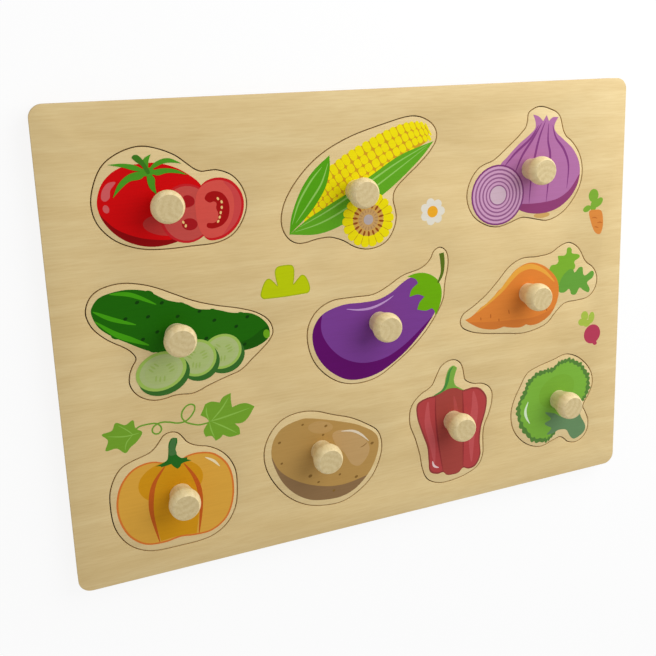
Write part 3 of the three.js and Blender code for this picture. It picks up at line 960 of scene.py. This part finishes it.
def plate(name, rims, low, high, materials):
    """A sheet with holes and softened edges.

    The first rim is its outline, anticlockwise, and the rest are its holes, clockwise. The materials are for
    the faces, the outer wall, and the walls of the holes.
    """
    mesh = bmesh.new()
    softening = ARRIS * MM
    levels = []
    for step in range(ARRIS_STEPS + 1):
        angle = math.pi / 2 * step / ARRIS_STEPS
        levels.append((softening * (1 - math.sin(angle)), softening * (1 - math.cos(angle))))
    profile = [(inset, low + rise) for inset, rise in levels]
    profile += [(inset, high - rise) for inset, rise in levels[::-1]]
    top_edges, bottom_edges = [], []
    for wall, rim in enumerate(rims):
        rings = []
        for inset, z in profile:
            rings.append([mesh.verts.new((x, y, z)) for x, y in offset(rim, -inset)])
        for level, (below, above) in enumerate(zip(rings, rings[1:])):
            for face in bridge(mesh, below, above):
                if level == ARRIS_STEPS:
                    face.material_index = min(wall + 1, 2)
        for ring, edges in ((rings[0], bottom_edges), (rings[-1], top_edges)):
            edges += [mesh.edges.get(pair) for pair in zip(ring, ring[1:] + ring[:1])]
    for edges in (bottom_edges, top_edges):
        bmesh.ops.triangle_fill(mesh, use_beauty=True, use_dissolve=False, edges=edges)
    return finish_mesh(name, mesh, materials, SHEET_CREASE)


def refined(loop):
    """A CAD loop drawn through with a smooth curve, anticlockwise."""
    return smooth(anticlockwise(loop), steps=CAD_STEPS)


def board_outline():
    """The board's outer edge as a true rounded rectangle on the CAD sheet's own box."""
    low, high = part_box("board_face")
    radius = BOARD_CORNER * MM
    corners = [
        (high.x - radius, high.y - radius, 0), (low.x + radius, high.y - radius, 90),
        (low.x + radius, low.y + radius, 180), (high.x - radius, low.y + radius, 270),
    ]
    outline = []
    for x, y, start in corners:
        for step in range(CORNER_STEPS + 1):
            angle = math.radians(start + 90 * step / CORNER_STEPS)
            outline.append((x + radius * math.cos(angle), y + radius * math.sin(angle)))
    return outline


def axis_of(node):
    """The x and y of the middle of a CAD node's box, in metres."""
    low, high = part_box(node)
    return (low.x + high.x) / 2, (low.y + high.y) / 2


def turned_knob(name, node, side, end, turn):
    """A turned knob: the CAD profile drawn through with a smooth curve, with end grain on its flat top."""
    cx, cy = axis_of(node)
    levels = {}
    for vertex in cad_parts[node].data.vertices:
        x, y, z = vertex.co
        radius = math.hypot(x - cx, y - cy)
        levels.setdefault(round(z, KNOB_DIGITS), set()).add(round(radius, KNOB_DIGITS))
    heights = sorted(levels)
    outline = [(0.0, heights[0]), (max(levels[heights[0]]), heights[0])]
    for z in heights[1:]:
        outline += [(radius, z) for radius in sorted(levels[z]) if radius > SAME_POINT]
    spigot = [p for p in outline if p[1] <= FACE_TOP + SAME_HEIGHT]
    shape = smooth([p for p in outline if p[1] > FACE_TOP + SAME_HEIGHT], closed=False, steps=CAD_STEPS)
    outline = spigot + shape + [(0.0, heights[-1])]
    mesh = bmesh.new()
    rings = []
    for radius, z in outline:
        if radius < SAME_POINT:
            rings.append([mesh.verts.new((cx, cy, z))])
            continue
        ring = []
        for i in range(KNOB_SEGMENTS):
            angle = 2 * math.pi * i / KNOB_SEGMENTS
            ring.append(mesh.verts.new((cx + radius * math.cos(angle), cy + radius * math.sin(angle), z)))
        rings.append(ring)
    for below, above in zip(rings, rings[1:]):
        for face in bridge(mesh, below, above):
            face.material_index = int(len(above) == 1)
    knob = finish_mesh(name, mesh, [side, end], KNOB_CREASE)
    pith = knob.data.attributes.new("pith", "FLOAT_VECTOR", "POINT")
    pith_x = cx + PITH_OFFSET * MM * math.cos(turn)
    pith_y = cy + PITH_OFFSET * MM * math.sin(turn)
    for value in pith.data:
        value.vector = (pith_x, pith_y, 0.0)
    return knob


def screen_print(name, layers, cx, cy, face, material):
    """Ink on a face: each patch a thin slab of its colour, each layer a little higher than the one below."""
    mesh = bmesh.new()
    ink = mesh.loops.layers.float_color.new("ink")
    number = 0
    for level, patches in enumerate(layers):
        for colour, outline in patches:
            number += 1
            outline = anticlockwise(outline)
            stagger = INK_STAGGER * number
            high = face + (INK_STEP * (level + 1) + stagger) * MM
            low = face - (INK_ROOT + stagger) * MM
            top = [mesh.verts.new((cx + x * MM, cy + y * MM, high)) for x, y in outline]
            bottom = [mesh.verts.new((cx + x * MM, cy + y * MM, low)) for x, y in outline]
            faces = [mesh.faces.new(top), mesh.faces.new(bottom[::-1])] + bridge(mesh, bottom, top)
            shade = linear(colour)
            for patch_face in faces:
                for corner in patch_face.loops:
                    corner[ink] = shade
    mesh.normal_update()
    bmesh.ops.triangulate(mesh, faces=[f for f in mesh.faces if len(f.verts) > 4], ngon_method="EAR_CLIP")
    return finish_mesh(name, mesh, [material], PRINT_CREASE)


FACE_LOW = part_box("board_face")[0].z
FACE_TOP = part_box("board_face")[1].z

board_face_wood = face_wood("lacquered_basswood_ply", "#d2b882", "#d7be89", "#dcc591")
piece_wood = face_wood("lacquered_basswood_ply_pieces", "#d4bb86", "#dac28e", "#dfc997")
back_wood = face_wood("sanded_basswood_ply_back", "#cdb382", "#d6be8e", "#dcc697")
sawn_recess = ply_edge("sawn_ply_raw", "#dcc08a", "#c8a870")
sawn_outer = ply_edge("sawn_ply_sanded", "#d8be8a", "#bd9c64")
beech_side = knob_wood("turned_beech_waxed", "#e2ce9c", "#e8d5a6")
beech_end = knob_wood("turned_beech_end_grain", "#c9b585", "#d0bd8e")
ink = printing_ink()

rims = top_rims("board_face")
holes = [refined(rim)[::-1] for rim in rims[1:]]
outer = board_outline()
board_face = plate(
    "board_face_sheet", [outer] + holes, FACE_LOW, FACE_TOP, [board_face_wood, sawn_outer, sawn_recess],
)
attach(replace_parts(board_face, "board_face"), "board")

back_low, back_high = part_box("board_back")
board_back = plate("board_back_sheet", [outer], back_low.z, back_high.z, [back_wood, sawn_outer])
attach(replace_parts(board_back, "board_back"), "board")

board_print = screen_print("board_print", board_picture(), 0.0, 0.0, FACE_TOP, ink)
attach(board_print, "board")

for number, (vegetable, drawn) in enumerate(PICTURES.items()):
    edge, *bores = [refined(rim) for rim in top_rims(vegetable + "_inset")]
    low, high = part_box(vegetable + "_inset")
    piece = plate(
        vegetable + "_piece", [edge] + [bore[::-1] for bore in bores], low.z, high.z,
        [piece_wood, sawn_recess, sawn_recess],
    )
    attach(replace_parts(piece, vegetable + "_inset"), vegetable)

    grip = turned_knob(vegetable + "_grip", vegetable + "_knob", beech_side, beech_end, PITH_TURN * number)
    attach(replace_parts(grip, vegetable + "_knob"), vegetable)

    picture = screen_print(vegetable + "_print", drawn(), *axis_of(vegetable + "_knob"), high.z, ink)
    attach(picture, vegetable)


# Floor, light and camera, in metres. The camera's shift keeps the off-centre framing of the board.

FLOOR_REACH = 3.0
FLOOR_DROP = 0.0003
LAMP_PLACE = (0.36, 0.34, 0.34)
LAMP_SIZE = 0.7
LAMP_POWER = 3.2
FILL_STRENGTH = 0.6
CAMERA_PLACE = (-0.15461, 0.11854, 0.35717)
CAMERA_TARGET = (-0.02263, 0.04292, 0.008)
CAMERA_ROLL = 2.087

floor_mesh = bmesh.new()
bmesh.ops.create_grid(floor_mesh, x_segments=2, y_segments=2, size=FLOOR_REACH)
bmesh.ops.translate(floor_mesh, verts=floor_mesh.verts, vec=(0.0, 0.0, -FLOOR_DROP))
floor = finish_mesh("floor", floor_mesh, [white_floor()], SHEET_CREASE)


def aim(thing, target, roll=0.0):
    """Turns a lamp or camera to face a point, with the board's far side up, and rolls it by degrees."""
    back = (thing.location - Vector(target)).normalized()
    right = Vector((0.0, 1.0, 0.0)).cross(back).normalized()
    up = back.cross(right)
    turn = math.radians(roll)
    rolled_right = right * math.cos(turn) - up * math.sin(turn)
    rolled_up = up * math.cos(turn) + right * math.sin(turn)
    thing.rotation_mode = "QUATERNION"
    thing.rotation_quaternion = Matrix((rolled_right, rolled_up, back)).transposed().to_quaternion()


def soft_lamp(name, place, size, power):
    """A round area lamp that faces the middle of the board."""
    lamp = bpy.data.lights.new(name, "AREA")
    lamp.shape = "DISK"
    lamp.size = size
    lamp.energy = power
    thing = bpy.data.objects.new(name, lamp)
    bpy.context.scene.collection.objects.link(thing)
    thing.location = place
    aim(thing, (0.0, 0.0, 0.0))


soft_lamp("key_softbox", LAMP_PLACE, LAMP_SIZE, LAMP_POWER)

world = bpy.data.worlds.new("studio")
bpy.context.scene.world = world
world.use_nodes = True
tree = world.node_tree
tree.nodes.clear()
fill = add(tree, "ShaderNodeBackground", {"Color": linear("#ffffff"), "Strength": FILL_STRENGTH})
backdrop = add(tree, "ShaderNodeBackground", {"Color": linear("#ffffff"), "Strength": 1.0})
shown = add(tree, "ShaderNodeMixShader", {
    0: seen_as_background(tree), 1: fill.outputs["Background"], 2: backdrop.outputs["Background"],
})
add(tree, "ShaderNodeOutputWorld", {"Surface": shown.outputs["Shader"]})

camera = bpy.data.cameras.new("camera")
camera.sensor_width = 36.0
camera.lens = 44.26
camera.shift_y = -0.1408
camera.clip_start = 0.01
viewer = bpy.data.objects.new("camera", camera)
bpy.context.scene.collection.objects.link(viewer)
viewer.location = CAMERA_PLACE
aim(viewer, CAMERA_TARGET, CAMERA_ROLL)
bpy.context.scene.camera = viewer
bpy.context.scene.view_settings.view_transform = "Standard"

bpy.context.view_layer.update()
